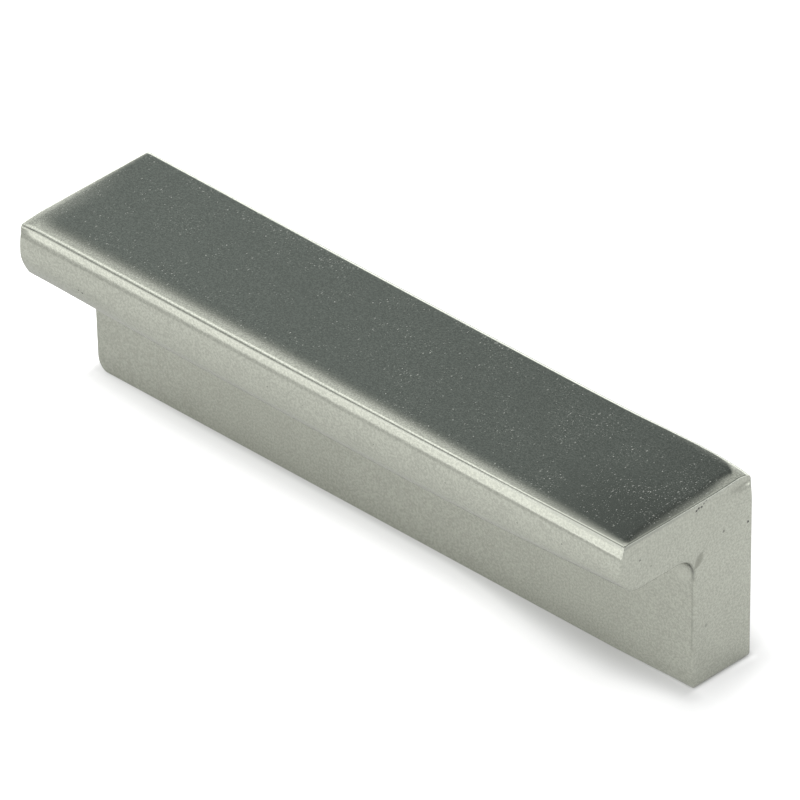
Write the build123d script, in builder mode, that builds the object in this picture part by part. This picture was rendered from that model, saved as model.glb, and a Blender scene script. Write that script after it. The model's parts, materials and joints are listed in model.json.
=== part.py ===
"""Ledge-style cabinet pull, cast in one piece.

The section is an upside-down L: a grip that overhangs to the front, with a bowed nose, and a leg
along its whole length.  The foot of the leg is screwed to a drawer front from behind, through two
tapped holes.  Origin: on the mounting face, midway between the two screw holes.
+X runs along the pull, -Y to the front where the fingers reach under the grip, +Z away from the drawer.
"""
from build123d import *
import os
from math import sqrt, tan, radians

# Overall sizes, in millimetres
length = 108.0               # end to end
height = 29.0                # mounting face to the top of the grip
grip_depth = 24.6            # back face to the foremost point of the nose
grip_thickness = 8.8         # top of the grip to its underside
leg_thickness = 11.2         # front face to back face of the leg

# Nose of the grip
nose_drop = 3.8              # top of the grip down to the foremost point
bow_radius = 12.0            # bow of the front face
lip_radius = 3.8             # under the front, where the fingers curl
bevel_height = 1.4           # bevel under the front crease
bevel_lean = 0.45            # how far that bevel leans back
bevel_foot_radius = 6.0      # softened foot of the bevel
crease_radius = 0.8          # crease between the top and the bevel
roll_width = 4.2             # buffed border of the top along the crease
roll_drop = 0.38             # how far that border falls away

# Corners
inner_radius = 3.0           # where the underside of the grip meets the leg
back_edge_radius = 1.2       # top edge along the back
worn_corner_radius = 2.2     # lower left corner of the leg, worn round
foot_corner_radius = 0.8     # lower right corner of the leg
edge_radius = 0.3            # both ends and the rim of the foot

# Screw holes, tapped for M4 machine screws
hole_spacing = 96.0
tap_drill_diameter = 3.3
mouth_diameter = 4.6         # countersunk mouth
mouth_angle = 90.0
hole_depth = 13.0            # full bore, before the drill point
drill_point_angle = 118.0

# Places worked out from the sizes above
half_length = length / 2
back_y = leg_thickness / 2
leg_front_y = -leg_thickness / 2
nose_y = back_y - grip_depth
underside_z = height - grip_thickness
nose_z = height - nose_drop
crease_z = height - roll_drop
bevel_foot_z = crease_z - bevel_height
bow_centre_y = nose_y + bow_radius


def bow_y(z):
    """Depth of the bowed front face at height z."""
    return bow_centre_y - sqrt(bow_radius**2 - (z - nose_z) ** 2)


bevel_foot_y = bow_y(bevel_foot_z)
crease_y = bevel_foot_y + bevel_lean
lip_y = bow_y(underside_z)
roll_start_y = crease_y + roll_width

with BuildPart() as pull:
    # Section through the grip and the leg, swept along the whole pull
    with BuildSketch(Plane.YZ.offset(-half_length)) as section:
        with BuildLine():
            Polyline(
                (lip_y, underside_z),
                (leg_front_y, underside_z),
                (leg_front_y, 0),
                (back_y, 0),
                (back_y, height),
                (roll_start_y, height),
            )
            TangentArc((roll_start_y, height), (crease_y, crease_z), tangent=(-1, 0))
            Line((crease_y, crease_z), (bevel_foot_y, bevel_foot_z))
            ThreePointArc((bevel_foot_y, bevel_foot_z), (nose_y, nose_z), (lip_y, underside_z))
        make_face()
        corner_radii = {
            (lip_y, underside_z): lip_radius,
            (leg_front_y, underside_z): inner_radius,
            (back_y, height): back_edge_radius,
            (crease_y, crease_z): crease_radius,
            (bevel_foot_y, bevel_foot_z): bevel_foot_radius,
        }
        for corner, radius in corner_radii.items():
            fillet(section.vertices().sort_by_distance((*corner, 0))[0], radius)
    extrude(amount=length)

    # Lower corners of the leg, rounded as seen from the front
    foot_edges = pull.edges().filter_by(Axis.Y).group_by(Axis.Z)[0].sort_by(Axis.X)
    fillet(foot_edges[0], worn_corner_radius)
    foot_edges = pull.edges().filter_by(Axis.Y).group_by(Axis.Z)[0].sort_by(Axis.X)
    fillet(foot_edges[-1], foot_corner_radius)

    # Soft rim round both ends, running on along the foot; the foot's rounded corners are left as they are
    end_faces = pull.faces().filter_by(Axis.X).sort_by(Axis.X)
    left_rim = end_faces[0].edges().sort_by(Axis.Z)[1:]
    right_rim = end_faces[-1].edges().sort_by(Axis.Z)[1:]
    fillet(left_rim + right_rim, edge_radius)

    # Tapped holes, bored from the mounting face
    with Locations(Plane(origin=(0, 0, 0), x_dir=(1, 0, 0), z_dir=(0, 0, -1))):
        with GridLocations(hole_spacing, 0, 2, 1):
            CounterSinkHole(
                radius=tap_drill_diameter / 2,
                counter_sink_radius=mouth_diameter / 2,
                depth=hole_depth,
                counter_sink_angle=mouth_angle,
            )
    drill_point_height = tap_drill_diameter / 2 / tan(radians(drill_point_angle / 2))
    with Locations((0, 0, hole_depth)):
        with GridLocations(hole_spacing, 0, 2, 1):
            Cone(
                bottom_radius=tap_drill_diameter / 2,
                top_radius=0,
                height=drill_point_height,
                align=(Align.CENTER, Align.CENTER, Align.MIN),
                mode=Mode.SUBTRACT,
            )

pull.part.label = "pull_body"

os.makedirs("parts", exist_ok=True)
export_step(pull.part, "parts/pull_body.step")
print("volume in cubic millimetres:", round(pull.part.volume, 1))
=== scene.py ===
"""Satin nickel cabinet pull: one casting with a buffed top, standing on a white floor under soft light."""
import json
from math import asin, atan2, cos, pi, radians, sin, sqrt, tan

import bmesh
import bpy
import numpy as np
from mathutils import Matrix, Quaternion, Vector
from mathutils.geometry import delaunay_2d_cdt


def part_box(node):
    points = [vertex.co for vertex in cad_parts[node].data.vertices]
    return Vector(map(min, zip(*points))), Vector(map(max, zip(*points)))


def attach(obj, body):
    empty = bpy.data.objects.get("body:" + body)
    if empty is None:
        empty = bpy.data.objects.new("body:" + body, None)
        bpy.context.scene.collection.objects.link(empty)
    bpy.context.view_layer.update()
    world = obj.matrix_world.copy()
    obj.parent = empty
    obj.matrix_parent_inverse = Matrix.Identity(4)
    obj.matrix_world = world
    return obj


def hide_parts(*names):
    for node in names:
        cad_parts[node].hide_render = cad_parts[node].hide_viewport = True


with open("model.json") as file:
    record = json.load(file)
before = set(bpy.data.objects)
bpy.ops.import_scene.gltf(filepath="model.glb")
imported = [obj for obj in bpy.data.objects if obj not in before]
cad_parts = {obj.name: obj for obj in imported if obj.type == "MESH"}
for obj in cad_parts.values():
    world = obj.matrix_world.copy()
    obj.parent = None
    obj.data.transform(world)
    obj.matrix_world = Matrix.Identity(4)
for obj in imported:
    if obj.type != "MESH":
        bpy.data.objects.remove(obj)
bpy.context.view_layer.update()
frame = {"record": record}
MM = 0.001

# Sizes of the casting in millimetres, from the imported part
node_low, node_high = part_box("pull_body")
half_length = node_high.x / MM
height = node_high.z / MM
back_y = node_high.y / MM
nose_y = node_low.y / MM
leg_front_y = -back_y
screw_mount = next(m for m in frame["record"]["mounts"] if m["name"] == "screw_holes")
hole_spacing = screw_mount["dims"]["spacing_x_mm"]
thread_inner_radius = screw_mount["dims"]["hole_r_mm"]

# Section of the grip and the leg, in millimetres
grip_thickness = 8.8
nose_drop = 3.8
bow_radius = 12.0
lip_radius = 3.8
bevel_height = 1.4
bevel_lean = 0.45
bevel_foot_radius = 6.0
crease_radius = 0.8
roll_width = 4.2
roll_drop = 0.38
inner_radius = 3.0
back_edge_radius = 1.2
rim_radius = 0.3
top_rim_radius = 0.14

# Spacing of the net of triangles on the flat faces, in millimetres
end_spacing = 0.35
foot_spacing = 1.6

# Screw holes, in millimetres
thread_outer_radius = 2.0
mouth_radius = 2.3
hole_depth = 13.0
drill_point_height = 1.0
thread_pitch = 0.7
thread_turns = 16
thread_start = 0.8

# Wear and casting marks, in millimetres
worn_corner_radius = 2.2
worn_corner_reach = 3.6
foot_corner_radius = 0.8
foot_corner_reach = 1.8
left_end_lean = 0.85
leg_drift = 0.4
worn_foot_edge_radius = 1.5
lip_wear = 0.5
underside_lift_at_right = 0.8
facet_slope = 0.2
facet_softness = 0.02
back_corner_draw_in = 0.3
bevel_fade_depth = 0.3
bevel_fade_reach = 2.4
pit_depth = 0.05

# How the wear changes along the pull: (place along it, amount)
TIGHTER_BACK_EDGE = ((34, 0), (40, 0.2))
SHARPER_CREASE = ((-10, 0), (45, 0.55))
WORN_FOOT_EDGE = ((40, 0), (46, 0.2), (51, 0.42), (54, 0.45))
LEG_DRIFT = ((-half_length, -leg_drift / 2), (-20, 0), (half_length, leg_drift))
UNDERSIDE_LIFT = (
    (-54, -0.9), (-37, -0.8), (0, -0.75), (13, -0.75),
    (28, -0.45), (42, 0.2), (54, underside_lift_at_right),
)
BORDER_DROP = (
    (-54, 0.40), (-4, 0.365), (20, 0.295), (42, 0.175), (48.5, 0.135), (52.5, 0.11), (54, 0.10),
)
BORDER_START = ((-54, 0.3), (-4, 0.6), (20, 1.0), (42, 1.7), (48.5, 2.3), (52.5, 2.9), (54, 3.1))
BEVEL_LEAN_BACK = ((-30, 0), (0, 0.02), (20, 0.05), (42, 0.15), (54, 0.18))
BACK_EDGE_BOW = (
    (-54, 0), (-40, 0.08), (-35, 0.15), (-20, 0.28), (-6, 0.34), (22, 0.36),
    (28, 0.33), (34, 0.24), (37, 0.22), (41, 0.15), (44.5, 0),
)
FACET_START = ((44, 5.6), (47.7, 5.1), (50.4, 4.4), (52.2, 3.65), (54, 3.2))

# Roll-off of the top at its ends: (share of the way to the back, reach, fall), and how steeply it ends
RIGHT_ROLL = (
    (0.00, 0.30, 0.005), (0.15, 1.10, 0.070), (0.30, 1.60, 0.100), (0.50, 1.70, 0.110),
    (0.65, 1.60, 0.117), (0.80, 1.95, 0.176), (0.90, 1.65, 0.165), (1.00, 1.90, 0.190),
)
LEFT_ROLL = (
    (0.00, 1.20, 0.090), (0.15, 1.10, 0.085), (0.30, 1.00, 0.075),
    (0.50, 0.80, 0.050), (0.80, 0.70, 0.035), (1.00, 0.60, 0.030),
)
right_roll_power = 1.6
left_roll_power = 1.4
long_roll_reach = 14
long_roll_fall = 0.06

# Small casting pits: place, radius in millimetres, and how dark each is; the dark is painted shade in each
# pit
CASTING_PITS = (
    ((half_length, -4.95, 27.80), 0.26, 1.0),
    ((half_length, -4.55, 28.00), 0.26, 1.0),
    ((half_length, -4.02, 27.98), 0.24, 1.0),
    ((half_length, -3.60, 28.32), 0.20, 0.6),
    ((half_length, -3.20, 28.55), 0.20, 0.5),
    ((half_length, 4.73, 21.40), 0.24, 1.0),
    ((half_length, 0.16, 22.18), 0.28, 0.5),
    ((half_length, -15.38, 25.41), 0.24, 0.5),
    ((half_length, -13.33, 23.57), 0.20, 0.35),
    ((half_length, -2.91, 9.20), 0.35, 0.2),
    ((-52.33, -18.69, 22.47), 0.20, 0.9),
    ((-43.16, -18.84, 23.25), 0.17, 0.8),
    ((-42.53, -18.81, 23.07), 0.20, 1.0),
    ((-8.45, -18.98, 24.45), 0.13, 0.5),
    ((-2.10, -18.98, 24.46), 0.12, 0.4),
    ((10.65, -18.97, 24.41), 0.13, 0.5),
    ((23.37, -18.98, 24.52), 0.14, 0.5),
    ((36.02, -18.97, 24.41), 0.13, 0.5),
    ((43.79, -18.99, 24.85), 0.14, 0.5),
)

# Painted highlight: lighter colour next to the inner corner at the right end: place, radius and strength
CORNER_PAINTED_HIGHLIGHT = (((52.0, -5.25, 17.5), 1.8, 0.35),)

# Leaf-shaped dent in the right end, tip to tip
LEAF_DENT = ((half_length, -5.2, 18.9), (half_length, -3.6, 20.9))
leaf_dent_half_width = 0.75
leaf_dent_tip_width = 0.05
leaf_dent_depth = 0.11

# Dust, fibres and fine dust: turn, stretch, number per millimetre, size, crowding and strength
DUST_KINDS = (
    (0.4, 1, 0.9, 0.07, 0.8, 0.85),
    (-0.3, 0.35, 1.7, 0.06, 1.4, 0.6),
    (1.3, 1, 2.2, 0.06, 2.2, 0.5),
)
dust_strength = 0.58

# Height of the bumps in the metal's grain, in millimetres
bump_height = 0.02

# Colours: dark and light tone of each finish, single tones of marks, and tones of painted shade, painted
# highlight and painted reflection
SATIN_TONES = ((0.420, 0.431, 0.376, 1), (0.524, 0.538, 0.469, 1))
POLISHED_TONES = ((0.390, 0.403, 0.356, 1), (0.510, 0.525, 0.464, 1))
PAINTED_DARK_REFLECTION_TONE = (0.360, 0.372, 0.328, 1)
ZINC_TONES = ((0.46, 0.46, 0.45, 1), (0.6, 0.6, 0.58, 1))
DENT_PAINTED_SHADE_TONE = (0.25, 0.255, 0.215, 1)
PAINTED_HIGHLIGHT_TONE = (0.60, 0.61, 0.54, 1)
PAINTED_SHADE_TONE = (0.05, 0.05, 0.045, 1)
DUST_TONE = (0.48, 0.49, 0.47, 1)
EDGE_TINT = (0.86, 0.86, 0.86, 1)
FLOOR_TONE = (0.545, 0.545, 0.545, 1)
WHITE = (1, 1, 1, 1)

# Floor: how bright the metal mirrors it, and what brings it to white around the shadow, with painted
# reflection and painted shadow in that glow
FLOOR_GLOW_TOUCHING = 0.205
FLOOR_GLOW_NEAR = 0.32
FLOOR_GLOW_FAR = 1.08
FLOOR_GLOW_CONTACT = 0.14
FLOOR_GLOW_TIGHT = 0.3
FLOOR_GLOW_SOFT = 0.3
tight_shadow_reach = 1.2
tight_shadow_spread = 5.0
soft_shadow_reach = 7.0

# Walls of the room: sine of the height above the horizon, and colour
BACK_WALL = (
    (0.00, (2.40, 2.40, 2.40)),
    (0.32, (2.40, 2.40, 2.40)),
    (0.42, (0.60, 0.62, 0.62)),
    (0.48, (0.30, 0.33, 0.335)),
    (0.54, (0.26, 0.29, 0.295)),
    (0.58, (0.255, 0.283, 0.288)),
    (0.63, (0.275, 0.30, 0.30)),
    (0.668, (0.45, 0.46, 0.45)),
    (0.71, (1.18, 1.19, 1.17)),
    (0.77, (1.25, 1.25, 1.23)),
    (0.81, (2.10, 2.10, 2.08)),
    (0.86, (1.60, 1.60, 1.60)),
    (0.90, (0.35, 0.35, 0.35)),
)
FRONT_WALL = (
    (0.00, (1.50, 1.50, 1.50)),
    (0.30, (1.45, 1.45, 1.45)),
    (0.46, (0.70, 0.71, 0.70)),
    (0.64, (0.62, 0.63, 0.62)),
    (0.74, (1.20, 1.21, 1.19)),
    (0.81, (2.10, 2.10, 2.08)),
    (0.86, (1.60, 1.60, 1.60)),
    (0.90, (0.35, 0.35, 0.35)),
)
FAR_RIGHT_TONE = (0.74, 0.75, 0.73, 1)
FAR_LEFT_TONE = (0.85, 0.86, 0.84, 1)
FAR_CORNER_TONE = (1.35, 1.36, 1.34, 1)
RIGHT_WALL_TONE = (0.30, 0.31, 0.31, 1)
DIM_WALL_TONE = (0.58, 0.59, 0.58, 1)
softbox_size = 1.5
softbox_distance = 1.3
softbox_watts = 17.0
softbox_direction = (0.35, -0.62, 0.70)

# Camera, in degrees, metres and millimetres of lens
camera_azimuth = 44.17
camera_elevation = 34.06
camera_roll = 0.15
camera_aim = (-0.0001, -0.00304, 0.01849)
camera_distance = 1.6575
camera_lens = 576.5

# Places worked out from the sizes above
underside_z = height - grip_thickness
nose_z = height - nose_drop
crease_z = height - roll_drop
bow_centre = Vector((nose_y + bow_radius, nose_z))
bevel_foot_z = crease_z - bevel_height
bevel_foot_y = bow_centre.x - sqrt(bow_radius**2 - (bevel_foot_z - nose_z) ** 2)
crease_y = bevel_foot_y + bevel_lean
roll_start_y = crease_y + roll_width


class Wiring:
    """Short words for adding nodes to a tree and joining them."""

    def __init__(self, tree):
        self.tree = tree

    def join(self, value, socket):
        if isinstance(value, bpy.types.NodeSocket):
            self.tree.links.new(value, socket)
        else:
            socket.default_value = value

    def node(self, kind, inputs=None, **settings):
        made = self.tree.nodes.new(kind)
        for name, value in settings.items():
            setattr(made, name, value)
        for key, value in (inputs or {}).items():
            self.join(value, made.inputs[key])
        return made

    def math(self, operation, *values, clamp=False):
        made = self.node("ShaderNodeMath", dict(enumerate(values)), operation=operation, use_clamp=clamp)
        return made.outputs[0]

    def times(self, value, *others):
        for other in others:
            value = self.math("MULTIPLY", value, other)
        return value

    def plus(self, value, *others):
        for other in others:
            value = self.math("ADD", value, other)
        return value

    def minus(self, value, other):
        return self.math("SUBTRACT", value, other)

    def most(self, first, second):
        return self.math("MAXIMUM", first, second)

    def length(self, first, second):
        """Length of a step from its two sides."""
        return self.math("SQRT", self.plus(self.math("POWER", first, 2.0), self.math("POWER", second, 2.0)))

    def vector(self, operation, first, second):
        """What becomes of a vector and another one, or of a vector and a scale."""
        key = "Scale" if operation == "SCALE" else 1
        made = self.node("ShaderNodeVectorMath", {0: first, key: second}, operation=operation)
        return made.outputs["Value" if operation in ("DISTANCE", "DOT_PRODUCT") else "Vector"]


def between(wire, value, low, high, to_low=0.0, to_high=1.0):
    """Value moved smoothly from one range to another and held at its ends."""
    made = wire.node(
        "ShaderNodeMapRange",
        {"Value": value, "From Min": low, "From Max": high, "To Min": to_low, "To Max": to_high},
        interpolation_type="SMOOTHSTEP",
    )
    return made.outputs[0]


def in_scene(name, data):
    """A new object, put in the scene."""
    made = bpy.data.objects.new(name, data)
    bpy.context.scene.collection.objects.link(made)
    return made


# Section outline

def arc(centre, radius, start, end, steps):
    """Points on an arc, from one angle to another, both included."""
    angles = [start + (end - start) * i / steps for i in range(steps + 1)]
    return [Vector((centre[0] + radius * cos(a), centre[1] + radius * sin(a))) for a in angles]


def corner(before, at, after, radius, steps):
    """Arc that rounds the corner between two straight sides."""
    at = Vector(at)
    to_before = (Vector(before) - at).normalized()
    to_after = (Vector(after) - at).normalized()
    half_angle = to_before.angle(to_after) / 2
    centre = at + (to_before + to_after).normalized() * (radius / sin(half_angle))
    reach = radius / tan(half_angle)
    first = at + to_before * reach - centre
    last = at + to_after * reach - centre
    start = atan2(first.y, first.x)
    turn = (atan2(last.y, last.x) - start + pi) % (2 * pi) - pi
    return arc(centre, radius, start, start + turn, steps)


def straight(start, end, shares):
    """Points on a straight side, at the given shares of its length."""
    return [Vector(start).lerp(Vector(end), share) for share in shares]


def even(count):
    return [i / count for i in range(1, count)]


def section_outline():
    """Closed outline of the section as (y, z), counter-clockwise from the back of the foot."""
    bevel_foot = Vector((bevel_foot_y, bevel_foot_z))
    crease = Vector((crease_y, crease_z))
    roll_start = Vector((roll_start_y, height))
    roll_radius = (roll_width**2 + roll_drop**2) / (2 * roll_drop)
    roll_angle = asin(roll_width / roll_radius)
    roll_tangent = Vector((cos(roll_angle), sin(roll_angle)))
    bow_start = pi - asin((bevel_foot.y - nose_z) / bow_radius)
    bow_tangent = Vector((-sin(bow_start), cos(bow_start)))
    lip_centre = Vector((0, underside_z + lip_radius))
    lip_centre.x = bow_centre.x - sqrt((bow_radius - lip_radius) ** 2 - (lip_centre.y - nose_z) ** 2)
    lip_start = atan2(lip_centre.y - bow_centre.y, lip_centre.x - bow_centre.x) % (2 * pi)

    foot_back, foot_front = (back_y, 0), (leg_front_y, 0)
    top_back, inner = (back_y, height), (leg_front_y, underside_z)
    near_foot = [0.01, 0.02, 0.03, 0.045, 0.06, 0.08, 0.1, 0.14]
    outline = corner(foot_front, foot_back, top_back, rim_radius, 4)
    above_rim = [rim_radius / height + share for share in near_foot]
    outline += straight(foot_back, top_back, above_rim + [0.3, 0.5, 0.7, 0.85])
    outline += corner(foot_back, top_back, roll_start, back_edge_radius, 12)
    top_columns = [share**1.5 for share in even(24)]
    outline += straight(Vector(top_back) - Vector((back_edge_radius, 0)), roll_start, top_columns)
    roll_centre = (roll_start.x, height - roll_radius)
    outline += arc(roll_centre, roll_radius, pi / 2, pi / 2 + roll_angle * 0.85, 10)
    outline += corner(crease + roll_tangent, crease, bevel_foot, crease_radius, 14)
    outline += corner(crease, bevel_foot, bevel_foot + bow_tangent, bevel_foot_radius, 8)
    outline += arc(bow_centre, bow_radius, bow_start + 0.05, lip_start, 16)
    outline += arc(lip_centre, lip_radius, lip_start, 1.5 * pi, 14)
    under_end = Vector(inner) - Vector((inner_radius, 0))
    outline += straight((lip_centre.x, underside_z), under_end, even(6))
    outline += corner(under_end, inner, foot_front, inner_radius, 14)
    outline += straight(foot_front, inner, [0.6, 0.4, 0.25] + above_rim[::-1])
    outline += corner(inner, foot_front, foot_back, rim_radius, 4)
    return [p for p, q in zip(outline, outline[1:] + outline[:1]) if (p - q).length > 1e-4]


# Swept casting

# Values that the points of the sweep keep until they are in place
KEPT_ON_POINTS = {
    "place": "FLOAT_VECTOR", "outward": "FLOAT_VECTOR", "rim": "FLOAT",
    "side": "FLOAT", "station": "FLOAT", "turn": "FLOAT",
}


def keeping(wire, curve, **values):
    """The curve, with values kept on its points by name."""
    for name, value in values.items():
        store = wire.node(
            "GeometryNodeStoreNamedAttribute",
            {"Geometry": curve, "Name": name, "Value": value},
            data_type=KEPT_ON_POINTS[name],
        )
        curve = store.outputs[0]
    return curve


def sweep_tree():
    """Geometry nodes that sweep a closed section along X and turn its rim in at both ends."""
    tree = bpy.data.node_groups.new("swept_casting", "GeometryNodeTree")
    wire = Wiring(tree)
    sockets = tree.interface.new_socket
    sockets("Section", in_out="INPUT", socket_type="NodeSocketGeometry")
    for name in ("Half Length", "Rim Radius", "Top Rim Radius", "Top Level", "Row Crowding"):
        sockets(name, in_out="INPUT", socket_type="NodeSocketFloat")
    for name in ("Body Rows", "Rim Rows"):
        sockets(name, in_out="INPUT", socket_type="NodeSocketInt")
    sockets("Finish", in_out="INPUT", socket_type="NodeSocketMaterial")
    sockets("Casting", in_out="OUTPUT", socket_type="NodeSocketGeometry")
    given = wire.node("NodeGroupInput").outputs

    # The section keeps each point's place and the direction that points out of the metal
    section = wire.node("GeometryNodeMeshToCurve", {"Mesh": given["Section"]})
    tangent = wire.node("GeometryNodeInputTangent").outputs[0]
    outward = wire.vector("CROSS_PRODUCT", tangent, (1, 0, 0))
    place = wire.node("GeometryNodeInputPosition").outputs[0]
    level = wire.node("ShaderNodeSeparateXYZ", {0: place}).outputs["Z"]
    below_top = wire.minus(given["Top Level"], level)
    rim = between(wire, below_top, 0.5, 1.6, given["Top Rim Radius"], given["Rim Radius"])
    curve = keeping(wire, section.outputs[0], place=place, outward=outward, rim=rim)

    # Rows along the pull: crowded towards the ends, then a quarter turn round each rim
    half_rows = wire.plus(given["Body Rows"], given["Rim Rows"])
    row_count = wire.plus(wire.times(half_rows, 2.0), 1.0)
    rows = wire.node("GeometryNodeMeshLine", {"Count": row_count, "Offset": (1, 0, 0)})
    path = wire.node("GeometryNodeMeshToCurve", {"Mesh": rows.outputs[0]}).outputs[0]
    index = wire.node("GeometryNodeInputIndex").outputs[0]
    from_middle = wire.minus(index, half_rows)
    side = wire.math("SIGN", from_middle)
    steps = wire.math("ABSOLUTE", from_middle)
    body_share = wire.math("MINIMUM", wire.math("DIVIDE", steps, given["Body Rows"]), 1.0)
    crowded = wire.math("POWER", wire.minus(1.0, body_share), given["Row Crowding"])
    body_reach = wire.minus(given["Half Length"], given["Rim Radius"])
    body_x = wire.times(body_reach, wire.minus(1.0, crowded))
    rim_steps = wire.most(wire.minus(steps, given["Body Rows"]), 0.0)
    rim_angle = wire.times(wire.math("DIVIDE", rim_steps, given["Rim Rows"]), pi / 2)
    path = keeping(wire, path, side=side, station=body_x, turn=rim_angle)

    swept = wire.node("GeometryNodeCurveToMesh", {"Curve": path, "Profile Curve": curve})
    read = {}
    for name, kind in KEPT_ON_POINTS.items():
        read[name] = wire.node("GeometryNodeInputNamedAttribute", {"Name": name}, data_type=kind).outputs[0]
    short_of_end = wire.times(read["rim"], wire.minus(1.0, wire.math("SINE", read["turn"])))
    rim_x = wire.minus(given["Half Length"], short_of_end)
    on_rim = wire.math("GREATER_THAN", read["turn"], 0.0)
    reach = wire.plus(read["station"], wire.times(on_rim, wire.minus(rim_x, read["station"])))
    inset = wire.times(read["rim"], wire.minus(1.0, wire.math("COSINE", read["turn"])))
    on_section = wire.vector("SUBTRACT", read["place"], wire.vector("SCALE", read["outward"], inset))
    along = wire.node("ShaderNodeCombineXYZ", {"X": wire.times(read["side"], reach)})
    final_place = wire.vector("ADD", on_section, along.outputs[0])
    moved = wire.node("GeometryNodeSetPosition", {"Geometry": swept.outputs[0], "Position": final_place})
    shell = moved.outputs[0]
    for name in KEPT_ON_POINTS:
        shell = wire.node("GeometryNodeRemoveAttribute", {"Geometry": shell, "Name": name}).outputs[0]
    real = wire.node("GeometryNodeRealizeInstances", {"Geometry": shell})
    dressed = wire.node(
        "GeometryNodeSetMaterial", {"Geometry": real.outputs[0], "Material": given["Finish"]}
    )
    wire.node("NodeGroupOutput", {"Casting": dressed.outputs[0]})
    return tree


def grown(base_mesh, tree, **inputs):
    """Plain mesh that a geometry nodes tree grows from a base mesh."""
    seed = in_scene("seed", base_mesh)
    modifier = seed.modifiers.new("grow", "NODES")
    modifier.node_group = tree
    identifiers = {s.name: s.identifier for s in tree.interface.items_tree if s.in_out == "INPUT"}
    for name, value in inputs.items():
        modifier[identifiers[name.replace("_", " ")]] = value
    evaluated = seed.evaluated_get(bpy.context.evaluated_depsgraph_get())
    mesh = bpy.data.meshes.new_from_object(evaluated)
    seed.modifiers.remove(modifier)
    bpy.data.objects.remove(seed)
    return mesh


def in_outline(points, outline):
    """Which points lie inside a closed outline."""
    x, y = points[:, 0], points[:, 1]
    inside = np.zeros(len(points), bool)
    for (x0, y0), (x1, y1) in zip(outline, np.roll(outline, -1, axis=0)):
        crosses = (y0 > y) != (y1 > y)
        with np.errstate(divide="ignore", invalid="ignore"):
            at = x0 + (y - y0) * (x1 - x0) / (y1 - y0)
        inside ^= crosses & (x < at)
    return inside


def gap_to_outline(points, outline):
    """Distance from each point to the nearest side of a closed outline."""
    nearest = np.full(len(points), np.inf)
    for start, end in zip(outline, np.roll(outline, -1, axis=0)):
        run = end - start
        share = np.clip((points - start) @ run / max(run @ run, 1e-12), 0, 1)
        nearest = np.minimum(nearest, np.linalg.norm(points - start - share[:, None] * run, axis=1))
    return nearest


def fill_flat(bm, loops, flat, solid, spacing, normal, extra=()):
    """Fills a flat outline, and leaves its holes, with an even net of triangles."""
    rims = [np.array([flat(v.co) for v in loop]) for loop in loops]
    low, high = rims[0].min(axis=0), rims[0].max(axis=0)
    grid = np.stack(np.meshgrid(*[np.arange(a, b, spacing) for a, b in zip(low, high)]), -1).reshape(-1, 2)
    grid[:, 0] += (np.round((grid[:, 1] - low[1]) / spacing) % 2) * spacing / 2
    keep = in_outline(grid, rims[0]) & (gap_to_outline(grid, rims[0]) > spacing * 0.6)
    for hole in rims[1:]:
        keep &= ~in_outline(grid, hole) & (gap_to_outline(grid, hole) > spacing * 0.6)
    points = np.concatenate(rims + [grid[keep]] + ([np.array(extra)] if len(extra) else []))
    edges, start = [], 0
    for rim in rims:
        count = len(rim)
        edges += [(start + i, start + (i + 1) % count) for i in range(count)]
        start += count
    made = delaunay_2d_cdt([Vector(p) for p in points], edges, [], 0, 1e-6, True)
    coords, faces, sources = made[0], made[2], made[3]
    known = [v for loop in loops for v in loop]
    verts = []
    for coord, source in zip(coords, sources):
        rim_index = min(source) if source else len(known)
        verts.append(known[rim_index] if rim_index < len(known) else bm.verts.new(solid(coord)))
    centres = np.array([np.mean([coords[i] for i in face], axis=0) for face in faces])
    wanted = in_outline(centres, rims[0])
    for hole in rims[1:]:
        wanted &= ~in_outline(centres, hole)
    for face, good in zip(faces, wanted):
        if good:
            made_face = bm.faces.new([verts[i] for i in face])
            made_face.normal_update()
            if made_face.normal.dot(normal) < 0:
                made_face.normal_flip()


def open_rims(bm):
    """The open edges of a mesh, as closed loops of vertices."""
    left = dict.fromkeys(e for e in bm.edges if e.is_boundary)
    loops = []
    while left:
        edge = next(iter(left))
        del left[edge]
        loop = [edge.verts[0], edge.verts[1]]
        while True:
            following = next((e for e in loop[-1].link_edges if e in left), None)
            if following is None:
                break
            del left[following]
            loop.append(following.other_vert(loop[-1]))
        loops.append(loop[:-1] if loop[0] is loop[-1] else loop)
    return loops


def bored_hole(bm, x):
    """Wall of one screw hole, from its countersunk mouth to the drill point; returns its mouth."""
    segments = 48
    mouth_depth = mouth_radius - thread_outer_radius
    levels = [(mouth_radius, 0), (thread_outer_radius, mouth_depth), (thread_outer_radius, hole_depth)]
    rings = []
    for radius, z in levels:
        turns = [2 * pi * i / segments for i in range(segments)]
        rings.append([bm.verts.new((x + radius * cos(a), radius * sin(a), z)) for a in turns])
    tip = bm.verts.new((x, 0, hole_depth + drill_point_height))
    for lower, upper in zip(rings, rings[1:]):
        for i in range(segments):
            j = (i + 1) % segments
            bm.faces.new((lower[j], lower[i], upper[i], upper[j]))
    for i in range(segments):
        bm.faces.new((rings[-1][(i + 1) % segments], rings[-1][i], tip))
    return rings[0]


def in_a_hole(place):
    """Whether a place lies in one of the screw holes, its wall included."""
    spare = 0.01
    across = abs(abs(place.x) - hole_spacing / 2)
    deepest = hole_depth + drill_point_height + spare
    return across**2 + place.y**2 < (mouth_radius + spare) ** 2 and place.z < deepest


def pit_points():
    """Close-set points for the pits in the right end face."""
    points = []
    for (x, y, z), radius, _ in CASTING_PITS:
        if x == half_length:
            points.append((y, z))
            for reach, count in ((0.5, 6), (1.0, 10)):
                turns = [2 * pi * i / count for i in range(count)]
                points += [(y + reach * radius * cos(a), z + reach * radius * sin(a)) for a in turns]
    return points


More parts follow.
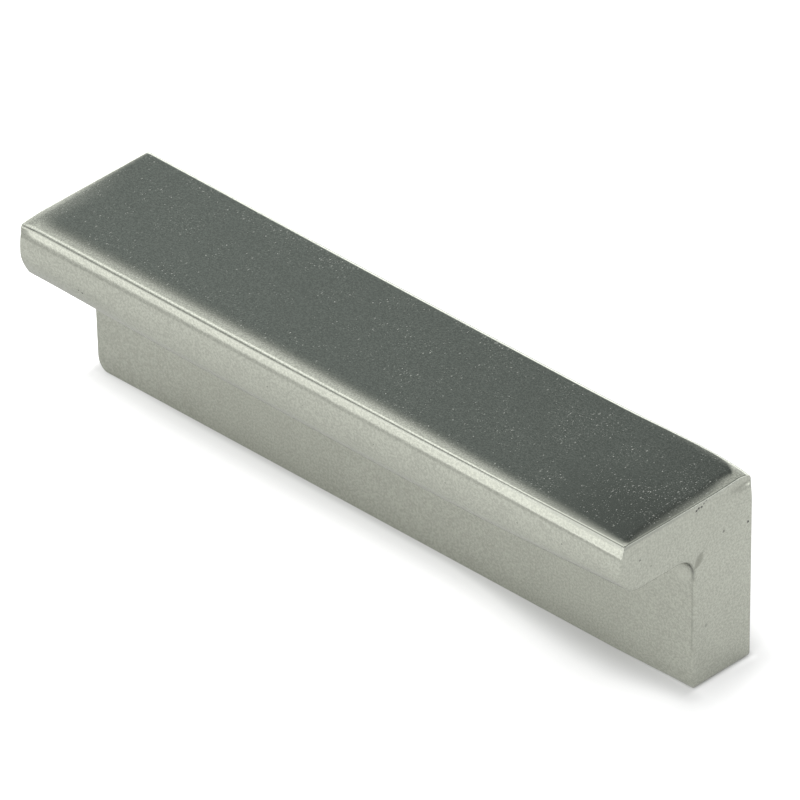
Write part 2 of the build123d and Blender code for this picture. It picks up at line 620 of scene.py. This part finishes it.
def close_ends_and_foot(bm):
    """Flat end faces and the foot with its two screw holes."""
    on_foot = [f for f in bm.faces if all(v.co.z < 1e-4 for v in f.verts)]
    bmesh.ops.delete(bm, geom=on_foot, context="FACES_ONLY")
    loops = open_rims(bm)
    foot = [loop for loop in loops if all(abs(v.co.z) < 1e-4 for v in loop)][0]
    ends = [loop for loop in loops if loop is not foot]
    for loop in ends:
        x = loop[0].co.x
        extra = pit_points() if x > 0 else ()
        outward = Vector((np.sign(x), 0, 0))
        fill_flat(
            bm, [loop], lambda co: (co.y, co.z), lambda p, x=x: (x, p[0], p[1]), end_spacing, outward, extra
        )
    mouths = [bored_hole(bm, side * hole_spacing / 2) for side in (-1, 1)]
    down = Vector((0, 0, -1))
    fill_flat(
        bm, [foot] + mouths, lambda co: (co.x, co.y), lambda p: (p[0], p[1], 0), foot_spacing, down
    )


# Wear

def fade(value, near, far):
    """1 at near and beyond it, 0 at far, smooth between."""
    t = np.clip((value - far) / (near - far), 0, 1)
    return t * t * (3 - 2 * t)


def round_over(z, radius):
    """How far a rounded lower corner draws in at height z."""
    depth = np.clip(radius - z, 0, radius)
    return radius - np.sqrt(radius**2 - depth**2)


def dented(y, z):
    """Depth of the leaf-shaped dent and the pits in the right end face."""
    start, end = np.array(LEAF_DENT[0][1:]), np.array(LEAF_DENT[1][1:])
    here = np.stack([y, z], 1)
    run = end - start
    share = np.clip((here - start) @ run / (run @ run), 0, 1)
    away = np.linalg.norm(here - start - share[:, None] * run, axis=1)
    half_width = leaf_dent_tip_width + leaf_dent_half_width * np.sin(pi * share)
    depth = leaf_dent_depth * np.clip(1 - (away / half_width) ** 2, 0, 1)
    for centre, radius, dark in CASTING_PITS:
        if centre[0] == half_length:
            away = np.hypot(y - centre[1], z - centre[2])
            depth += pit_depth * dark * np.clip(1 - (away / radius) ** 2, 0, 1)
    return depth


def worn(x, profile):
    """Amount of wear at x, from a list of (place, amount)."""
    places, amounts = zip(*profile)
    return np.interp(x, places, amounts)


def rolled_off(gap, towards_back, roll, power):
    """How far the top falls at a distance from an end, from a list of (share, reach, fall)."""
    shares, reaches, falls = zip(*roll)
    reach = np.interp(towards_back, shares, reaches)
    fall = np.interp(towards_back, shares, falls)
    return fall * np.clip(1 - (gap - top_rim_radius) / reach, 0, 1.2) ** power


def up_the_bevel(y, z):
    """Share of the way up the bevel, fading out behind the crease."""
    return np.clip((z - bevel_foot_z) / bevel_height, 0, 1) * fade(y, crease_y + 0.3, crease_y + 2.5)


def wear(points):
    """Worn corners, leaning end and buffed borders, on points in millimetres."""
    x, y, z = points.T.copy()
    left_gap, right_gap = x + half_length, half_length - x
    x -= np.where(right_gap < 1e-4, dented(y, z), 0)
    # The back edge of the top is tighter towards the right
    back_gap, top_gap = back_y - y, height - z
    tighter = worn(x, TIGHTER_BACK_EDGE) * fade(np.maximum(back_gap, top_gap), 1.25, 2.2)
    y += back_gap * tighter
    z += top_gap * tighter
    # The crease grows sharper towards the right
    from_crease = np.hypot(y - crease_y, z - crease_z)
    sharper = worn(x, SHARPER_CREASE) * fade(from_crease, 0.47, 0.52)
    y += (crease_y - y) * sharper
    z += (crease_z - z) * sharper
    # The foot's front edge is worn round at the right, and the leg thins slightly that way
    on_leg = np.clip(1 - z / underside_z, 0, 1)
    at_front = fade(y, leg_front_y, leg_front_y + 3.0)
    y += round_over(z, worn_foot_edge_radius) * at_front * worn(x, WORN_FOOT_EDGE)
    in_front = fade(y, leg_front_y, leg_front_y + 4.0) * fade(y, leg_front_y - 3.6, leg_front_y - 7.0)
    y += worn(x, LEG_DRIFT) * in_front * fade(z, underside_z, underside_z + 1.5)
    # The grip is a little thinner towards the right
    under_grip = fade(z, underside_z + 1.0, nose_z) * fade(z, underside_z - 3.6, underside_z - 8.0)
    z += under_grip * worn(x, UNDERSIDE_LIFT)
    # The left end leans in and both lower corners are worn
    draw_in = left_end_lean * on_leg + round_over(z, worn_corner_radius)
    x += draw_in * np.clip(1 - left_gap / worn_corner_reach, 0, 1)
    x -= round_over(z, foot_corner_radius) * fade(right_gap, 0, foot_corner_reach)
    # The buffed border along the crease narrows towards the right
    into_roll = roll_start_y - y
    drop, start = worn(x, BORDER_DROP), worn(x, BORDER_START)
    drop_now = roll_drop * (np.clip(into_roll, 0, roll_width) / roll_width) ** 2
    drop_new = drop * (np.clip(into_roll - start, 0, roll_width - start) / (roll_width - start)) ** 2
    z += (drop_now - drop_new) * fade(z, crease_z - 0.1, crease_z - 0.9)
    # The bevel leans back more towards the right
    y += up_the_bevel(y, z) ** 1.3 * worn(x, BEVEL_LEAN_BACK)
    # The buffing wheel rolls the top off towards both ends, most at the right end's back corner
    towards_back = np.clip((y - nose_y) / (back_y - nose_y), 0, 1)
    near_top = fade(z, height - 0.7, height - 2.6)
    z -= near_top * rolled_off(right_gap, towards_back, RIGHT_ROLL, right_roll_power)
    z -= near_top * long_roll_fall * np.clip(1 - right_gap / long_roll_reach, 0, 1) ** 2
    z -= near_top * rolled_off(left_gap, towards_back, LEFT_ROLL, left_roll_power)
    # The back edge of the top is bowed in along the middle, with a facet at the right corner
    down_back = fade(y, back_y, back_y - 8) * fade(z, height - 2, height - 12)
    y -= down_back * worn(x, BACK_EDGE_BOW)
    into_facet = y - worn(x, FACET_START)
    z -= near_top * facet_slope * (np.sqrt(into_facet**2 + facet_softness) + into_facet) / 2
    x -= back_corner_draw_in * near_top * fade(y, back_y, back_y - 9) * fade(right_gap, 0, 3.0)
    # The bevel fades out at the left end, and the lip is rounder there
    y -= bevel_fade_depth * up_the_bevel(y, z) * np.clip(1 - left_gap / bevel_fade_reach, 0, 1) ** 1.5
    at_lip = fade(z, underside_z + 0.8, underside_z + 4.0) * fade(y, nose_y + 2.0, nose_y + 5.0)
    y += lip_wear * at_lip * fade(x, -half_length, -25)
    z = np.minimum(z, height)
    return np.stack([x, y, z], 1)


# Materials

def satin_grain_group():
    """Fine cast grain: a tone that varies over the surface and a height for bumps."""
    tree = bpy.data.node_groups.new("satin_grain", "ShaderNodeTree")
    wire = Wiring(tree)
    sockets = tree.interface.new_socket
    sockets("Place", in_out="INPUT", socket_type="NodeSocketVector")
    for name in ("Grains per mm", "Clouds per mm"):
        sockets(name, in_out="INPUT", socket_type="NodeSocketFloat")
    for name in ("Tone", "Height"):
        sockets(name, in_out="OUTPUT", socket_type="NodeSocketFloat")
    given = wire.node("NodeGroupInput").outputs
    fine = noise(wire, given["Place"], given["Grains per mm"], 2.0)
    cloudy = noise(wire, given["Place"], given["Clouds per mm"], 3.0)
    both = wire.plus(wire.times(fine, 0.85), wire.times(cloudy, 0.15))
    wire.node("NodeGroupOutput", {"Tone": both, "Height": fine})
    return tree


def blend(wire, share, first, second):
    """Colour between two colours."""
    made = wire.node("ShaderNodeMix", {0: share, 6: first, 7: second}, data_type="RGBA")
    return made.outputs[2]


def place_in_mm(wire):
    here = wire.node("ShaderNodeTexCoord").outputs["Object"]
    return wire.vector("SCALE", here, 1 / MM)


def noise(wire, place, per_mm, detail):
    made = wire.node("ShaderNodeTexNoise", {"Vector": place, "Scale": per_mm, "Detail": detail})
    return made.outputs[0]


def specks(wire, place, turn, stretch, per_mm, size, share):
    """Sparse small specks, drawn out into short streaks where they are stretched."""
    turned = wire.node(
        "ShaderNodeMapping", {"Vector": place, "Rotation": (0, 0, turn), "Scale": (1, stretch, 0)}
    )
    cells = wire.node(
        "ShaderNodeTexVoronoi", {"Vector": turned.outputs[0], "Scale": per_mm}, voronoi_dimensions="2D"
    )
    pick = wire.node("ShaderNodeSeparateColor", {0: cells.outputs["Color"]}).outputs
    kept = wire.math("LESS_THAN", pick[0], share)
    own_size = wire.times(wire.plus(pick[1], 0.5), size * per_mm)
    from_middle = wire.math("DIVIDE", cells.outputs["Distance"], own_size)
    dot = wire.math("SUBTRACT", 1.0, from_middle, clamp=True)
    return wire.times(kept, wire.math("MINIMUM", wire.times(dot, 2.0), 1.0))


def marks(wire, place, spots):
    """Depth of small marks: 1 in the middle of each, 0 away from them."""
    total = None
    for centre, radius, depth in spots:
        away = wire.vector("DISTANCE", place, centre)
        one = between(wire, away, radius, radius * 0.35, 0.0, depth)
        total = one if total is None else wire.most(total, one)
    return total


def painted_corner_shade(wire, along):
    """Painted shade: a dark crescent on the inner corner, next to the right end."""
    centre_y = leg_front_y + leg_drift - inner_radius
    centre_z = underside_z + underside_lift_at_right - inner_radius
    out = wire.minus(along["Y"], centre_y)
    rise = wire.minus(along["Z"], centre_z)
    turn = wire.math("ARCTAN2", rise, out)
    ends = wire.times(between(wire, turn, 1.7, 0.85, 0.0, 0.8), between(wire, turn, -0.6, 0.75, 0.2, 1.0))
    width = between(wire, turn, 0.2, 1.0, 0.6, 1.2)
    inset = wire.math("DIVIDE", wire.minus(half_length, along["X"]), width)
    near_end = wire.times(between(wire, inset, 1.3, 0.45), between(wire, inset, 0.1, 0.4, 0.3, 1.0))
    on_fillet = between(wire, wire.length(out, rise), inner_radius + 0.28, inner_radius + 0.12)
    return wire.times(ends, near_end, on_fillet)


def painted_corner_line(wire, along):
    """Painted shade: a thin dark line down the front corner of the leg, at the right end."""
    inset = wire.minus(half_length, along["X"])
    front_y = leg_front_y + leg_drift
    return wire.times(
        between(wire, inset, 0.55, 0.38),
        between(wire, inset, 0.1, 0.28),
        between(wire, along["Z"], 4.0, 8.0, 0.0, 0.17),
        between(wire, along["Z"], 17.5, 15.5),
        between(wire, along["Y"], front_y + 0.5, front_y + 0.3),
    )


def leaf(wire, place):
    """Painted shade in the leaf-shaped dent: a darker tone over it."""
    start, end = (Vector(tip) for tip in LEAF_DENT)
    run = end - start
    here = wire.vector("SUBTRACT", place, start)
    along = wire.vector("DOT_PRODUCT", here, run / run.length_squared)
    share = wire.math("MULTIPLY", along, 1.0, clamp=True)
    away = wire.vector("DISTANCE", here, wire.vector("SCALE", run, share))
    half_width = wire.times(wire.math("SINE", wire.times(share, pi)), leaf_dent_half_width)
    inside = wire.math("DIVIDE", away, wire.plus(half_width, leaf_dent_tip_width))
    return between(wire, inside, 1.15, 0.4, 0.0, 0.6)


def dust_on_top(wire, place, along, buffed):
    """Dust, fibres and fine dust in clumps: thicker to the right, and along the back at the left."""
    near_right = wire.times(
        between(wire, along["X"], -10.0, half_length, 0.10, 0.22),
        between(wire, along["Y"], back_y, back_y - 8.0, 0.4, 1.0),
    )
    near_back = wire.times(
        between(wire, along["Y"], back_y - 4.5, back_y - 1.2, 0.0, 0.4),
        between(wire, along["X"], 22.0, 0.0),
    )
    clumps = between(wire, noise(wire, place, 0.17, 1.0), 0.38, 0.62, 0.25, 1.75)
    crowd = wire.times(wire.plus(near_right, near_back), clumps)
    total = None
    for turn, stretch, per_mm, size, crowding, strength in DUST_KINDS:
        scattered = specks(wire, place, turn, stretch, per_mm, size, wire.times(crowd, crowding))
        one = wire.times(scattered, strength)
        total = one if total is None else wire.most(total, one)
    return wire.times(total, wire.times(buffed, dust_strength))


def plate_roughness(wire, along, buffed, dust):
    """Smoother towards the top, smoothest where buffed, hazy at two borders and under dust."""
    half_bright = between(wire, along["Z"], nose_z, nose_z + 2.0, 0.26, 0.19)
    left_border = wire.times(
        between(wire, along["X"], -half_length + 4.5, -half_length),
        between(wire, along["Y"], back_y - 3.0, nose_y + 7.0),
    )
    back_border = wire.times(
        between(wire, along["Y"], back_y - 2.2, back_y - 0.8),
        between(wire, along["X"], 30.0, 52.0, 0.0, 0.75),
    )
    hazy = wire.times(wire.most(left_border, back_border), wire.times(buffed, 0.14))
    return wire.plus(wire.minus(half_bright, wire.times(buffed, 0.06)), hazy, wire.times(dust, 0.4))


def grainy_metal(name, grain_group, grains_per_mm, clouds_per_mm):
    """A new material with its wiring, places on the surface, grain and the inputs of its shader."""
    material = bpy.data.materials.new(name)
    material.use_nodes = True
    wire = Wiring(material.node_tree)
    place = place_in_mm(wire)
    sizes = {"Place": place, "Grains per mm": grains_per_mm, "Clouds per mm": clouds_per_mm}
    grain = wire.node("ShaderNodeGroup", sizes, node_tree=grain_group).outputs
    return material, wire, place, grain, material.node_tree.nodes["Principled BSDF"].inputs


def bumps(wire, level, strength):
    made = wire.node(
        "ShaderNodeBump", {"Height": level, "Strength": strength, "Distance": bump_height * MM}
    )
    return made.outputs[0]


def satin_nickel(grain_group):
    """Plated casting: satin all round, buffed and dusty on top."""
    material, wire, place, grain, shader = grainy_metal("satin_nickel", grain_group, 3.2, 0.3)
    along = wire.node("ShaderNodeSeparateXYZ", {0: place}).outputs
    buffed = between(wire, along["Z"], crease_z - 0.5, crease_z - 0.1)

    satin = blend(wire, between(wire, grain["Tone"], 0.3, 0.7), *SATIN_TONES)
    haze = between(wire, noise(wire, place, 4.5, 2.0), 0.35, 0.65)
    polished = blend(wire, haze, *POLISHED_TONES)
    # Painted darker reflection on the buffed top towards the right front corner
    near_corner = wire.times(
        between(wire, along["X"], 32.0, 48.0, 0.0, 0.85), between(wire, along["Y"], -3.0, -11.0)
    )
    polished = blend(wire, near_corner, polished, PAINTED_DARK_REFLECTION_TONE)
    metal = blend(wire, buffed, satin, polished)
    # Painted shade in the leaf-shaped dent
    metal = blend(wire, leaf(wire, place), metal, DENT_PAINTED_SHADE_TONE)
    # Painted highlight beside the inner corner at the right end
    metal = blend(wire, marks(wire, place, CORNER_PAINTED_HIGHLIGHT), metal, PAINTED_HIGHLIGHT_TONE)
    pits = marks(wire, place, CASTING_PITS)
    # Painted shade: the crescent on the inner corner, the line down the leg's front corner, and the dark in
    # the pits
    for shade in (painted_corner_shade(wire, along), painted_corner_line(wire, along), pits):
        metal = blend(wire, shade, metal, PAINTED_SHADE_TONE)
    dust = dust_on_top(wire, place, along, buffed)
    wire.join(blend(wire, dust, metal, DUST_TONE), shader["Base Color"])

    bare = wire.minus(1.0, dust)
    wire.join(wire.minus(bare, wire.times(pits, 0.5)), shader["Metallic"])
    wire.join(plate_roughness(wire, along, buffed, dust), shader["Roughness"])
    shader["Specular Tint"].default_value = EDGE_TINT
    grain_level = wire.times(grain["Height"], between(wire, buffed, 0.0, 1.0, 1.0, 0.15))
    wire.join(bumps(wire, wire.minus(grain_level, wire.times(pits, 6.0)), 0.5), shader["Normal"])
    return material


def bare_zinc(grain_group):
    """Unplated metal in the tapped holes."""
    material, wire, _, grain, shader = grainy_metal("bare_zinc", grain_group, 6.0, 1.2)
    tone = between(wire, grain["Tone"], 0.3, 0.7)
    wire.join(blend(wire, tone, *ZINC_TONES), shader["Base Color"])
    shader["Metallic"].default_value = 1.0
    shader["Roughness"].default_value = 0.34
    wire.join(bumps(wire, grain["Height"], 0.4), shader["Normal"])
    return material


def glow_in_metal(wire, spot, beside, foot_gap, right_gap):
    """Brightness of the floor as the metal mirrors it, a painted reflection with painted shadow: dim near
    the pull, bright far away.
    """
    middle_y = (back_y + nose_y) / 2
    across = wire.math("ABSOLUTE", wire.minus(spot["Y"], middle_y))
    before = wire.most(wire.minus(across, back_y - middle_y), 0.0)
    away = wire.length(beside, before)
    glow = between(wire, away, 4.0, 40.0, FLOOR_GLOW_TOUCHING, FLOOR_GLOW_NEAR)
    # Painted shadow: darker where the foot touches, most at the right
    at_contact = between(wire, spot["X"], -10.0, 45.0, 0.70, 0.46)
    glow = wire.times(glow, between(wire, foot_gap, 0.0, 4.5, at_contact, 1.0))
    # Painted reflection: lighter towards the right, and darker far beyond that end and beside the left end
    glow = wire.plus(glow, between(wire, right_gap, 0.0, 3.0, 0.0, 0.008))
    rightwards = between(wire, spot["X"], -40.0, 40.0, 0.0, 0.04)
    glow = wire.plus(glow, wire.times(rightwards, between(wire, right_gap, 2.0, -2.0)))
    glow = wire.minus(glow, between(wire, right_gap, 12.0, 34.0, 0.0, 0.10))
    beside_left_end = wire.times(
        between(wire, spot["X"], -45.0, -62.0), between(wire, spot["Y"], -38.0, -26.0)
    )
    glow = wire.minus(glow, wire.times(beside_left_end, 0.05))
    # Painted dark ring in the reflection, then the far floor brighter
    glow = wire.times(glow, between(wire, away, 76.0, 55.0))
    return wire.plus(glow, between(wire, away, 140.0, 240.0, 0.0, FLOOR_GLOW_FAR))


def glow_to_camera(wire, spot, foot_gap, right_gap):
    """Brightness that keeps the floor white and paints a tight and a soft shadow at the foot."""
    in_front = between(wire, spot["Y"], leg_front_y + 1.5, leg_front_y)
    front_right = wire.times(
        between(wire, spot["X"], 10.0, 40.0), in_front, between(wire, spot["X"], 56.0, 42.0, 0.35, 1.0)
    )
    right_side = wire.times(
        between(wire, right_gap, -2.0, 2.0), between(wire, spot["Y"], 4.0, -4.0, 0.15, 1.0)
    )
    contact = wire.minus(FLOOR_GLOW_CONTACT, wire.times(front_right, 0.12))
    contact = wire.plus(contact, between(wire, spot["X"], -30.0, -50.0, 0.0, 0.08))
    lighter = wire.plus(
        between(wire, spot["Y"], -9.0, -4.0, 0.0, 0.17), between(wire, spot["Y"], 0.0, 5.0, 0.0, 0.1)
    )
    contact = wire.plus(contact, between(wire, right_gap, -0.5, 0.5, 0.0, lighter))
    tight_reach = wire.plus(tight_shadow_reach, wire.times(front_right, tight_shadow_spread))
    tight = between(wire, wire.math("DIVIDE", foot_gap, tight_reach), 0.0, 1.0, contact, FLOOR_GLOW_TIGHT)
    wider = wire.most(wire.times(front_right, 0.55), wire.times(right_side, 0.3))
    narrowed = wire.times(foot_gap, wire.minus(1.0, wider))
    soft = between(wire, narrowed, 0.0, soft_shadow_reach, 0.0, FLOOR_GLOW_SOFT)
    left_side = between(wire, spot["X"], -half_length + 1.0, -half_length - 1.5, 0.0, 0.6)
    front_left = wire.times(in_front, between(wire, spot["X"], 50.0, 30.0, 0.0, 0.05))
    return wire.plus(tight, soft, left_side, front_left)


def white_floor():
    """Matt white floor that stays white to the camera, is seen in the metal, and keeps the shadow; its glow
    paints shadow round the foot and paints the reflection that the metal sees.
    """
    material = bpy.data.materials.new("white_floor")
    material.use_nodes = True
    tree = material.node_tree
    tree.nodes.clear()
    wire = Wiring(tree)
    rays = wire.node("ShaderNodeLightPath").outputs
    spot = wire.node("ShaderNodeSeparateXYZ", {0: place_in_mm(wire)}).outputs
    beside = wire.most(wire.minus(wire.math("ABSOLUTE", spot["X"]), half_length), 0.0)
    before = wire.most(wire.minus(wire.math("ABSOLUTE", spot["Y"]), back_y), 0.0)
    foot_gap = wire.length(beside, before)
    right_gap = wire.minus(spot["X"], half_length)
    mirrored = wire.most(rays["Is Glossy Ray"], rays["Is Transmission Ray"])
    in_metal = wire.times(mirrored, glow_in_metal(wire, spot, beside, foot_gap, right_gap))
    seen = wire.times(rays["Is Camera Ray"], glow_to_camera(wire, spot, foot_gap, right_gap))
    matt = wire.node("ShaderNodeBsdfDiffuse", {"Color": FLOOR_TONE})
    lift = wire.node("ShaderNodeEmission", {"Color": WHITE, "Strength": wire.plus(in_metal, seen)})
    lit = wire.node("ShaderNodeAddShader", {0: matt.outputs[0], 1: lift.outputs[0]})
    clear = wire.node("ShaderNodeBsdfTransparent")
    under = wire.node("ShaderNodeNewGeometry").outputs["Backfacing"]
    mixed = wire.node("ShaderNodeMixShader", {0: under, 1: lit.outputs[0], 2: clear.outputs[0]})
    wire.node("ShaderNodeOutputMaterial", {"Surface": mixed.outputs[0]})
    return material


# Pieces

def make_body(finish, hole_finish):
    """The casting, swept from its section, closed, worn and put in metres."""
    outline = section_outline()
    base = bpy.data.meshes.new("section")
    count = len(outline)
    base.from_pydata([(0, p.x, p.y) for p in outline], [(i, (i + 1) % count) for i in range(count)], [])
    mesh = grown(
        base,
        sweep_tree(),
        Half_Length=half_length,
        Rim_Radius=rim_radius,
        Top_Rim_Radius=top_rim_radius,
        Top_Level=height,
        Row_Crowding=2.0,
        Body_Rows=40,
        Rim_Rows=5,
        Finish=finish,
    )
    bm = bmesh.new()
    bm.from_mesh(mesh)
    bmesh.ops.remove_doubles(bm, verts=bm.verts, dist=1e-5)
    close_ends_and_foot(bm)
    bmesh.ops.recalc_face_normals(bm, faces=bm.faces)
    for face in bm.faces:
        face.smooth = True
        face.material_index = int(all(v.co.z > 1e-4 and in_a_hole(v.co) for v in face.verts))
    bm.to_mesh(mesh)
    bm.free()
    mesh.materials.append(hole_finish)
    points = np.empty(len(mesh.vertices) * 3)
    mesh.vertices.foreach_get("co", points)
    mesh.vertices.foreach_set("co", (wear(points.reshape(-1, 3)) * MM).ravel())
    mesh.update()
    mesh.name = "pull_casting"
    body = in_scene("pull_casting", mesh)
    weighted = body.modifiers.new("even_shading", "WEIGHTED_NORMAL")
    weighted.weight = 100
    return body


def thread_tree():
    """Geometry nodes that wind a thread ridge and set one in each hole."""
    tree = bpy.data.node_groups.new("tapped_threads", "GeometryNodeTree")
    wire = Wiring(tree)
    sockets = tree.interface.new_socket
    sockets("Holes", in_out="INPUT", socket_type="NodeSocketGeometry")
    for name in ("Inner Radius", "Outer Radius", "Pitch"):
        sockets(name, in_out="INPUT", socket_type="NodeSocketFloat")
    for name in ("Turns", "Steps per Turn"):
        sockets(name, in_out="INPUT", socket_type="NodeSocketInt")
    sockets("Finish", in_out="INPUT", socket_type="NodeSocketMaterial")
    sockets("Threads", in_out="OUTPUT", socket_type="NodeSocketGeometry")
    given = wire.node("NodeGroupInput").outputs
    winding = wire.node(
        "GeometryNodeCurveSpiral",
        {
            "Resolution": given["Steps per Turn"],
            "Rotations": given["Turns"],
            "Start Radius": given["Outer Radius"],
            "End Radius": given["Outer Radius"],
            "Height": wire.times(given["Pitch"], given["Turns"]),
        },
    )
    upright = wire.node("GeometryNodeSetCurveNormal", {"Curve": winding.outputs[0]}, mode="Z_UP")
    # Ridge between two turns: broad on the wall, narrow at its crest
    in_wall, root_half, crest_half = 0.03, 0.44, 0.125
    crest_x = wire.minus(given["Inner Radius"], given["Outer Radius"])
    places = ((in_wall, root_half), (in_wall, -root_half), (crest_x, -crest_half), (crest_x, crest_half))
    corners = {}
    for number, (x, share) in enumerate(places, 1):
        z = wire.times(given["Pitch"], share)
        corners[f"Point {number}"] = wire.node("ShaderNodeCombineXYZ", {"X": x, "Y": z}).outputs[0]
    ridge = wire.node("GeometryNodeCurvePrimitiveQuadrilateral", corners, mode="POINTS")
    wound = wire.node(
        "GeometryNodeCurveToMesh",
        {"Curve": upright.outputs[0], "Profile Curve": ridge.outputs[0], "Fill Caps": True},
    )
    set_in = wire.node(
        "GeometryNodeInstanceOnPoints", {"Points": given["Holes"], "Instance": wound.outputs[0]}
    )
    real = wire.node("GeometryNodeRealizeInstances", {"Geometry": set_in.outputs[0]})
    dressed = wire.node(
        "GeometryNodeSetMaterial", {"Geometry": real.outputs[0], "Material": given["Finish"]}
    )
    wire.node("NodeGroupOutput", {"Threads": dressed.outputs[0]})
    return tree


def make_threads(finish):
    """The two tapped threads, put in metres."""
    holes = bpy.data.meshes.new("hole_starts")
    holes.from_pydata([(side * hole_spacing / 2, 0, thread_start) for side in (-1, 1)], [], [])
    mesh = grown(
        holes,
        thread_tree(),
        Inner_Radius=thread_inner_radius,
        Outer_Radius=thread_outer_radius,
        Pitch=thread_pitch,
        Turns=thread_turns,
        Steps_per_Turn=24,
        Finish=finish,
    )
    mesh.transform(Matrix.Scale(MM, 4))
    mesh.name = "hole_threads"
    return in_scene("hole_threads", mesh)


def make_floor():
    """A wide flat floor, in metres."""
    mesh = bpy.data.meshes.new("floor")
    reach = 4.0
    corners = [(-reach, -reach, 0), (reach, -reach, 0), (reach, reach, 0), (-reach, reach, 0)]
    mesh.from_pydata(corners, [], [(0, 1, 2, 3)])
    mesh.materials.append(white_floor())
    floor = in_scene("floor", mesh)


def band_ramp(wire, up, bands):
    """Colour of a wall by height, from a list of heights and colours."""
    ramp = wire.node("ShaderNodeValToRGB", {0: up})
    stops = ramp.color_ramp.elements
    for place, _ in bands[2:]:
        stops.new(place)
    for stop, (place, colour) in zip(stops, bands):
        stop.position = place
        stop.color = (*colour, 1)
    return ramp.outputs[0]


def room_walls(wire, heading):
    """Colour and strength of the room in every direction."""
    up = heading["Z"]
    rightwards = wire.plus(heading["X"], heading["Y"])
    above_horizon = between(wire, up, 0.30, 0.42)
    low_on_wall = between(wire, up, 0.04, 0.12)
    # Back wall, with lighter and darker stretches to its sides
    back_wall = band_ramp(wire, up, BACK_WALL)
    far_right = wire.times(between(wire, rightwards, 0.17, 0.27), above_horizon)
    back_wall = blend(wire, far_right, back_wall, FAR_RIGHT_TONE)
    far_left = wire.times(between(wire, heading["X"], -0.63, -0.69), above_horizon)
    back_wall = blend(wire, far_left, back_wall, FAR_LEFT_TONE)
    far_corner = wire.times(between(wire, heading["X"], -0.695, -0.72), above_horizon)
    back_wall = blend(wire, far_corner, back_wall, FAR_CORNER_TONE)
    right_wall = wire.times(between(wire, heading["X"], -0.16, 0.02), between(wire, up, 0.24, 0.36))
    back_wall = blend(wire, right_wall, back_wall, RIGHT_WALL_TONE)
    # Front wall, dimmer to the right, and the dim side beyond both
    front_wall = band_ramp(wire, up, FRONT_WALL)
    front_right = wire.times(
        between(wire, heading["X"], -0.35, 0.1), low_on_wall, between(wire, up, 0.6, 0.46)
    )
    front_wall = blend(wire, front_right, front_wall, DIM_WALL_TONE)
    walls = blend(wire, between(wire, heading["Y"], -0.2, 0.2), front_wall, back_wall)
    beyond_right = wire.times(between(wire, heading["X"], 0.82, 0.92), low_on_wall)
    walls = blend(wire, beyond_right, walls, DIM_WALL_TONE)
    # The back wall grows darker towards the right, as far as its lighter stretch
    near_corner = wire.plus(0.32, between(wire, heading["Y"], 0.594, 0.584, 0.0, 0.2))
    darker = wire.plus(
        between(wire, heading["X"], -0.59, -0.55, 0.0, 0.3),
        between(wire, heading["X"], -0.556, -0.541, 0.0, near_corner),
    )
    darker = wire.times(darker, between(wire, up, 0.42, 0.50), between(wire, up, 0.67, 0.61))
    dimmer = wire.times(between(wire, rightwards, 0.07, 0.14, 0.0, 0.3), between(wire, up, 0.64, 0.69))
    darker = wire.times(wire.plus(darker, dimmer), wire.minus(1.0, far_right))
    return walls, wire.minus(1.0, darker)


def light_the_room():
    """Soft room light: white horizon, dim walls above it, a bright cove, and a softbox in front."""
    world = bpy.data.worlds.new("soft_room")
    bpy.context.scene.world = world
    world.use_nodes = True
    tree = world.node_tree
    tree.nodes.clear()
    wire = Wiring(tree)
    direction = wire.node("ShaderNodeTexCoord").outputs["Generated"]
    walls, strength = room_walls(wire, wire.node("ShaderNodeSeparateXYZ", {0: direction}).outputs)
    room = wire.node("ShaderNodeBackground", {"Color": walls, "Strength": strength})
    white = wire.node("ShaderNodeBackground", {"Color": WHITE, "Strength": 1.0})
    camera_ray = wire.node("ShaderNodeLightPath").outputs["Is Camera Ray"]
    seen = wire.node("ShaderNodeMixShader", {0: camera_ray, 1: room.outputs[0], 2: white.outputs[0]})
    wire.node("ShaderNodeOutputWorld", {"Surface": seen.outputs[0]})

    softbox = bpy.data.lights.new("softbox", "AREA")
    softbox.shape = "SQUARE"
    softbox.size = softbox_size
    softbox.energy = softbox_watts
    lamp = in_scene("softbox", softbox)
    towards = Vector(softbox_direction).normalized()
    lamp.location = towards * softbox_distance
    lamp.rotation_mode = "QUATERNION"
    lamp.rotation_quaternion = (-towards).to_track_quat("-Z", "Y")
    lamp.visible_camera = False
    lamp.visible_glossy = False


def place_camera():
    """Camera at the photograph's viewing angle."""
    azimuth, elevation = radians(camera_azimuth), radians(camera_elevation)
    back = Vector((sin(azimuth) * cos(elevation), -cos(azimuth) * cos(elevation), sin(elevation)))
    data = bpy.data.cameras.new("camera")
    data.lens = camera_lens
    data.clip_end = 20.0
    camera = in_scene("camera", data)
    camera.rotation_mode = "QUATERNION"
    camera.location = Vector(camera_aim) + back * camera_distance
    rolled = Quaternion((0, 0, 1), -radians(camera_roll))
    camera.rotation_quaternion = (-back).to_track_quat("-Z", "Y") @ rolled
    bpy.context.scene.camera = camera


bpy.context.scene.view_settings.view_transform = "Standard"
grain = satin_grain_group()
nickel = satin_nickel(grain)
zinc = bare_zinc(grain)
body = make_body(nickel, zinc)
threads = make_threads(zinc)
make_floor()
light_the_room()
place_camera()

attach(body, "root")
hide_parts("pull_body")
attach(threads, "root")
